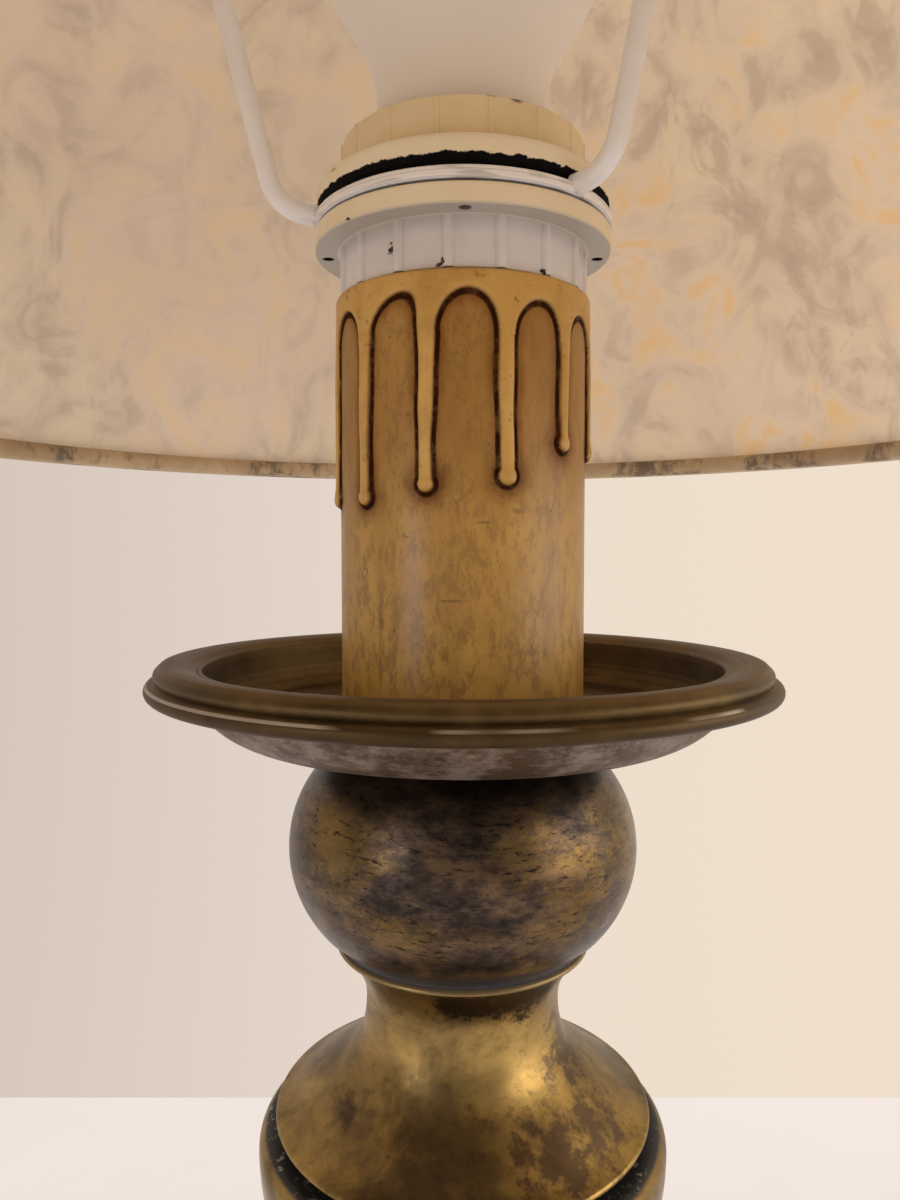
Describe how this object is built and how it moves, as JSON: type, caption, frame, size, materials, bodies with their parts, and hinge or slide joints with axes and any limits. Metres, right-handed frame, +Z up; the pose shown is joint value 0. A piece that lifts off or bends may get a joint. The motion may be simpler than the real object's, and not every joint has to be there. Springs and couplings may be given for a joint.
{
  "type": "candlestick table lamp",
  "caption": "Turned brass candlestick table lamp with a drip pan, imitation candle and clip-on cone shade.",
  "frame": {"origin": "on the lamp's vertical axis, at the surface that it stands on", "axes": "+Z up along the column, -Y towards the pictured front, +Y towards the cord inlet"},
  "size_m": [0.257, 0.257, 0.4634],
  "materials": {
    "felt_green": "pressed wool felt, dark brown",
    "cover_steel": "zinc-plated steel sheet",
    "brass_foot": "turned brass, polished long ago, brown patina in the low places",
    "weight_iron": "rough cast iron",
    "zinc_hardware": "bright zinc-plated",
    "bushing_plastic": "moulded, dark brown",
    "brass_aged": "turned brass, golden with brown and black tarnish",
    "brass_tarnished": "turned brass under heavy mottled black-brown tarnish",
    "bronze_pan": "turned brass with a dark brown satin patina",
    "candle_resin": "cream-yellow resin, antiqued with dark brown stain round the drips",
    "cup_tin": "pressed tinplate",
    "holder_bakelite": "moulded thermoset, painted off-white",
    "ceramic": "glazed steatite",
    "contact_brass": "bright brass sheet",
    "ring_cream": "black thermoset painted cream, yellowed, black where bare",
    "ring_white": "black thermoset painted white, chipped",
    "wire_white": "white-lacquered steel",
    "shade_paper": "translucent marbled parchment paper, beige and peach",
    "shade_trim": "thin dark edging, worn to tan",
    "bulb_white": "moulded, matte white",
    "bulb_cap_metal": "nickel-plated sheet",
    "bulb_black": "black glass insulation",
    "globe_opal": "opal diffuser, matte white",
    "board_white": "white-coated aluminium board"
  },
  "bodies": {
    "root": {"felt_pad": "felt_green", "base_cover": "cover_steel", "foot": "brass_foot", "base_weight": "weight_iron", "base_washer": "zinc_hardware", "base_nut": "zinc_hardware", "cord_bushing": "bushing_plastic", "lower_knop": "brass_foot", "vase": "brass_aged", "bell": "brass_aged", "ball_knob": "brass_tarnished", "threaded_tube": "zinc_hardware", "drip_pan": "bronze_pan", "sleeve_cup": "cup_tin", "pan_washer": "zinc_hardware", "pan_nut": "zinc_hardware", "candle_sleeve": "candle_resin", "holder_cap": "holder_bakelite", "grub_screw": "zinc_hardware", "holder_shell": "holder_bakelite", "terminal_block": "ceramic", "terminal_screws": "contact_brass", "centre_contact": "contact_brass", "side_contact": "contact_brass", "screw_shell": "contact_brass"},
    "lower_ring": {"lower_ring": "ring_white"},
    "shade": {"shade_ring": "wire_white", "shade_arms": "wire_white", "shade_top_hoop": "wire_white", "shade_bottom_hoop": "wire_white", "shade_panel": "shade_paper", "shade_top_trim": "shade_trim", "shade_bottom_trim": "shade_trim"},
    "upper_ring": {"upper_ring": "ring_cream"},
    "bulb_pip": {"bulb_contact": "bulb_cap_metal"},
    "bulb": {"bulb_cap": "bulb_cap_metal", "bulb_insulator": "bulb_black", "bulb_housing": "bulb_white", "bulb_globe": "globe_opal", "led_board": "board_white"}
  },
  "joints": [
    {"name": "lower_ring_screw", "type": "slide", "parent": "root", "child": "lower_ring", "axis": [0, 0, 1], "range_m": [0, 0.004]},
    {"name": "shade_swivel", "type": "hinge", "parent": "lower_ring", "child": "shade", "pos_m": [0, 0, 0.336], "axis": [0, 0, 1], "continuous": true},
    {"name": "upper_ring_screw", "type": "slide", "parent": "lower_ring", "child": "upper_ring", "axis": [0, 0, 1], "range_m": [0, 0.007]},
    {"name": "bulb_rise", "type": "slide", "parent": "root", "child": "bulb_pip", "axis": [0, 0, 1], "range_m": [0, 0.018]},
    {"name": "bulb_screw", "type": "hinge", "parent": "bulb_pip", "child": "bulb", "pos_m": [0, 0, 0.336], "axis": [0, 0, 1], "range_deg": [0, 1800]}
  ],
  "couplings": [
    {"joint": "bulb_rise", "follows": "bulb_screw", "m_per_rad": 0.00057296}
  ]
}
